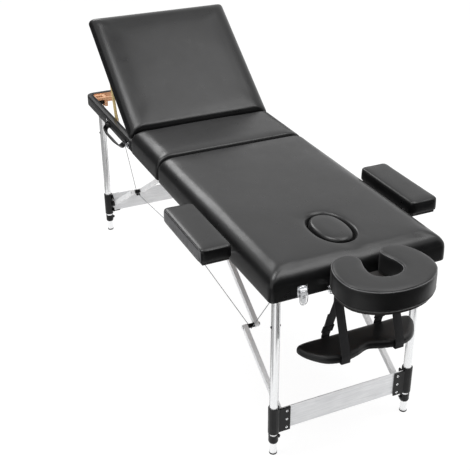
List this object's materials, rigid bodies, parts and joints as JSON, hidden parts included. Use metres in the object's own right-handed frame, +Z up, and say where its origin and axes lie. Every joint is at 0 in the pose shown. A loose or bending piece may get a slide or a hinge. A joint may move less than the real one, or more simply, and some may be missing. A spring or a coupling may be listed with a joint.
{
  "type": "portable massage table",
  "caption": "Folding portable massage table on hinged aluminium legs, with a raised backrest, face hole plug, side armrests, face cradle and hanging arm shelf.",
  "frame": {"origin": "on the floor under the middle of the open table's length and width", "axes": "+X along the table to the face cradle, -Y to the side with the carry handle, +Z up"},
  "size_m": [2.0982, 0.86, 1.0509],
  "materials": {
    "frame_wood": "beech rails, wrapped outside in smooth black synthetic leather",
    "dark_plywood": "dark stained plywood with a satin surface",
    "black_leather": "smooth black synthetic leather over foam, soft sheen",
    "beech_wood": "pale planed beech",
    "chromed_steel": "bright chrome",
    "polished_aluminium": "polished tube and bar",
    "brushed_aluminium": "lengthwise brushed bar",
    "black_plastic": "satin black moulding",
    "steel_cable": "thin stranded steel cable",
    "black_webbing": "woven black webbing"
  },
  "bodies": {
    "head_half": {"head_frame": "frame_wood", "head_deck": "dark_plywood", "head_cushion": "black_leather", "head_left_brace_cable": "steel_cable", "head_right_brace_cable": "steel_cable"},
    "centre_hinge": {"centre_hinge_pin": "chromed_steel"},
    "foot_half": {"foot_frame": "frame_wood", "hip_deck": "dark_plywood", "hip_cushion": "black_leather", "foot_left_brace_cable": "steel_cable", "foot_right_brace_cable": "steel_cable", "left_latch_catch": "chromed_steel", "right_latch_catch": "chromed_steel"},
    "backrest": {"backrest_deck": "dark_plywood", "backrest_cushion": "black_leather"},
    "prop": {"backrest_prop": "beech_wood"},
    "face_hole_plug": {"face_plug": "black_leather"},
    "left_armrest": {"left_armrest_pad": "black_leather", "left_armrest_support": "dark_plywood"},
    "right_armrest": {"right_armrest_pad": "black_leather", "right_armrest_support": "dark_plywood"},
    "cradle_slide": {"cradle_rods": "chromed_steel"},
    "cradle_head": {"cradle_platform": "dark_plywood", "cradle_cushion": "black_leather"},
    "hanging_shelf": {"arm_shelf": "black_leather", "left_shelf_strap": "black_webbing", "right_shelf_strap": "black_webbing"},
    "handle": {"carry_handle": "black_webbing"},
    "left_latch": {"left_latch_lever": "chromed_steel"},
    "right_latch": {"right_latch_lever": "chromed_steel"},
    "head_legs": {"head_left_leg_tube": "polished_aluminium", "head_left_leg_bracket": "black_plastic", "head_left_leg_collar": "black_plastic", "head_right_leg_tube": "polished_aluminium", "head_right_leg_bracket": "black_plastic", "head_right_leg_collar": "black_plastic", "head_cross_plate": "brushed_aluminium"},
    "head_upper_braces": {"head_left_brace_upper": "polished_aluminium", "head_right_brace_upper": "polished_aluminium"},
    "head_lower_braces": {"head_left_brace_lower": "polished_aluminium", "head_right_brace_lower": "polished_aluminium"},
    "head_left_foot": {"head_left_leg_extension": "polished_aluminium"},
    "head_left_catch_button": {"head_left_leg_button": "chromed_steel"},
    "head_right_foot": {"head_right_leg_extension": "polished_aluminium"},
    "head_right_catch_button": {"head_right_leg_button": "chromed_steel"},
    "foot_legs": {"foot_left_leg_tube": "polished_aluminium", "foot_left_leg_bracket": "black_plastic", "foot_left_leg_collar": "black_plastic", "foot_right_leg_tube": "polished_aluminium", "foot_right_leg_bracket": "black_plastic", "foot_right_leg_collar": "black_plastic", "foot_cross_plate": "brushed_aluminium"},
    "foot_upper_braces": {"foot_left_brace_upper": "polished_aluminium", "foot_right_brace_upper": "polished_aluminium"},
    "foot_lower_braces": {"foot_left_brace_lower": "polished_aluminium", "foot_right_brace_lower": "polished_aluminium"},
    "foot_left_foot": {"foot_left_leg_extension": "polished_aluminium"},
    "foot_left_catch_button": {"foot_left_leg_button": "chromed_steel"},
    "foot_right_foot": {"foot_right_leg_extension": "polished_aluminium"},
    "foot_right_catch_button": {"foot_right_leg_button": "chromed_steel"}
  },
  "joints": [
    {"name": "main_fold_a", "type": "hinge", "parent": "head_half", "child": "centre_hinge", "pos_m": [-0.11685, 0, 0.6192], "axis": [0, -1, 0], "range_deg": [0, 90], "deforming": ["head_left_brace_cable", "head_right_brace_cable", "foot_left_brace_cable", "foot_right_brace_cable"]},
    {"name": "main_fold_b", "type": "hinge", "parent": "centre_hinge", "child": "foot_half", "pos_m": [-0.11685, 0, 0.6192], "axis": [0, -1, 0], "range_deg": [0, 90], "deforming": ["head_left_brace_cable", "head_right_brace_cable", "foot_left_brace_cable", "foot_right_brace_cable"]},
    {"name": "head_leg_fold", "type": "hinge", "parent": "head_half", "child": "head_legs", "pos_m": [0.74515, 0, 0.642], "axis": [0, 1, 0], "range_deg": [0, 90]},
    {"name": "head_upper_brace_fold", "type": "hinge", "parent": "head_half", "child": "head_upper_braces", "pos_m": [-0.06885, 0, 0.652], "axis": [0, -1, 0], "range_deg": [0, 32.75]},
    {"name": "head_lower_brace_fold", "type": "hinge", "parent": "head_legs", "child": "head_lower_braces", "pos_m": [0.73515, 0, 0.135], "axis": [0, 1, 0], "range_deg": [0, 57.27]},
    {"name": "foot_leg_fold", "type": "hinge", "parent": "foot_half", "child": "foot_legs", "pos_m": [-0.97885, 0, 0.642], "axis": [0, -1, 0], "range_deg": [0, 90]},
    {"name": "foot_upper_brace_fold", "type": "hinge", "parent": "foot_half", "child": "foot_upper_braces", "pos_m": [-0.16485, 0, 0.652], "axis": [0, 1, 0], "range_deg": [0, 32.75]},
    {"name": "foot_lower_brace_fold", "type": "hinge", "parent": "foot_legs", "child": "foot_lower_braces", "pos_m": [-0.96885, 0, 0.135], "axis": [0, -1, 0], "range_deg": [0, 57.27]},
    {"name": "backrest_tilt", "type": "hinge", "parent": "foot_half", "child": "backrest", "pos_m": [-0.42485, 0, 0.668], "axis": [0, -1, 0], "range_deg": [0, 37]},
    {"name": "prop_fold", "type": "hinge", "parent": "foot_half", "child": "prop", "pos_m": [-0.68485, 0, 0.652], "axis": [0, -1, 0], "range_deg": [0, 74]},
    {"name": "head_left_foot_height", "type": "slide", "parent": "head_legs", "child": "head_left_foot", "axis": [0, 0, 1], "range_m": [-0.13, 0]},
    {"name": "head_left_button_press", "type": "slide", "parent": "head_legs", "child": "head_left_catch_button", "axis": [0, -1, 0], "range_m": [0, 0.003], "stiffness_N_per_m": 400, "springref_m": -0.001},
    {"name": "head_right_foot_height", "type": "slide", "parent": "head_legs", "child": "head_right_foot", "axis": [0, 0, 1], "range_m": [-0.13, 0]},
    {"name": "head_right_button_press", "type": "slide", "parent": "head_legs", "child": "head_right_catch_button", "axis": [0, 1, 0], "range_m": [0, 0.003], "stiffness_N_per_m": 400, "springref_m": -0.001},
    {"name": "foot_left_foot_height", "type": "slide", "parent": "foot_legs", "child": "foot_left_foot", "axis": [0, 0, 1], "range_m": [-0.13, 0]},
    {"name": "foot_left_button_press", "type": "slide", "parent": "foot_legs", "child": "foot_left_catch_button", "axis": [0, -1, 0], "range_m": [0, 0.003], "stiffness_N_per_m": 400, "springref_m": -0.001},
    {"name": "foot_right_foot_height", "type": "slide", "parent": "foot_legs", "child": "foot_right_foot", "axis": [0, 0, 1], "range_m": [-0.13, 0]},
    {"name": "foot_right_button_press", "type": "slide", "parent": "foot_legs", "child": "foot_right_catch_button", "axis": [0, 1, 0], "range_m": [0, 0.003], "stiffness_N_per_m": 400, "springref_m": -0.001},
    {"name": "face_plug_lift", "type": "slide", "parent": "head_half", "child": "face_hole_plug", "axis": [0, 0, 1], "range_m": [0, 0.08]},
    {"name": "left_armrest_slide", "type": "slide", "parent": "head_half", "child": "left_armrest", "axis": [0, -1, 0], "range_m": [0, 0.12]},
    {"name": "right_armrest_slide", "type": "slide", "parent": "head_half", "child": "right_armrest", "axis": [0, 1, 0], "range_m": [0, 0.12]},
    {"name": "cradle_slide_out", "type": "slide", "parent": "head_half", "child": "cradle_slide", "axis": [1, 0, 0], "range_m": [0, 0.1]},
    {"name": "cradle_tilt", "type": "hinge", "parent": "cradle_slide", "child": "cradle_head", "pos_m": [0.83815, 0, 0.645], "axis": [0, 1, 0], "range_deg": [0, 30]},
    {"name": "shelf_swing", "type": "hinge", "parent": "cradle_slide", "child": "hanging_shelf", "pos_m": [0.83815, 0, 0.645], "axis": [0, 1, 0], "range_deg": [-20, 20]},
    {"name": "handle_swing", "type": "hinge", "parent": "foot_half", "child": "handle", "pos_m": [-0.58885, -0.31, 0.642], "axis": [1, 0, 0], "range_deg": [-90, 5]},
    {"name": "left_latch_flip", "type": "hinge", "parent": "head_half", "child": "left_latch", "pos_m": [0.81525, -0.202, 0.651], "axis": [0, 1, 0], "range_deg": [-110, 0]},
    {"name": "right_latch_flip", "type": "hinge", "parent": "head_half", "child": "right_latch", "pos_m": [0.81525, 0.202, 0.651], "axis": [0, 1, 0], "range_deg": [-110, 0]}
  ],
  "couplings": [
    {"joint": "head_leg_fold", "follows": "main_fold_a", "ratio": 1},
    {"joint": "head_upper_brace_fold", "follows": "main_fold_a", "ratio": 0.3638},
    {"joint": "head_lower_brace_fold", "follows": "main_fold_a", "ratio": 0.63619},
    {"joint": "foot_leg_fold", "follows": "main_fold_a", "ratio": 1},
    {"joint": "foot_upper_brace_fold", "follows": "main_fold_a", "ratio": 0.3638},
    {"joint": "foot_lower_brace_fold", "follows": "main_fold_a", "ratio": 0.63619},
    {"joint": "prop_fold", "follows": "backrest_tilt", "ratio": 2}
  ]
}
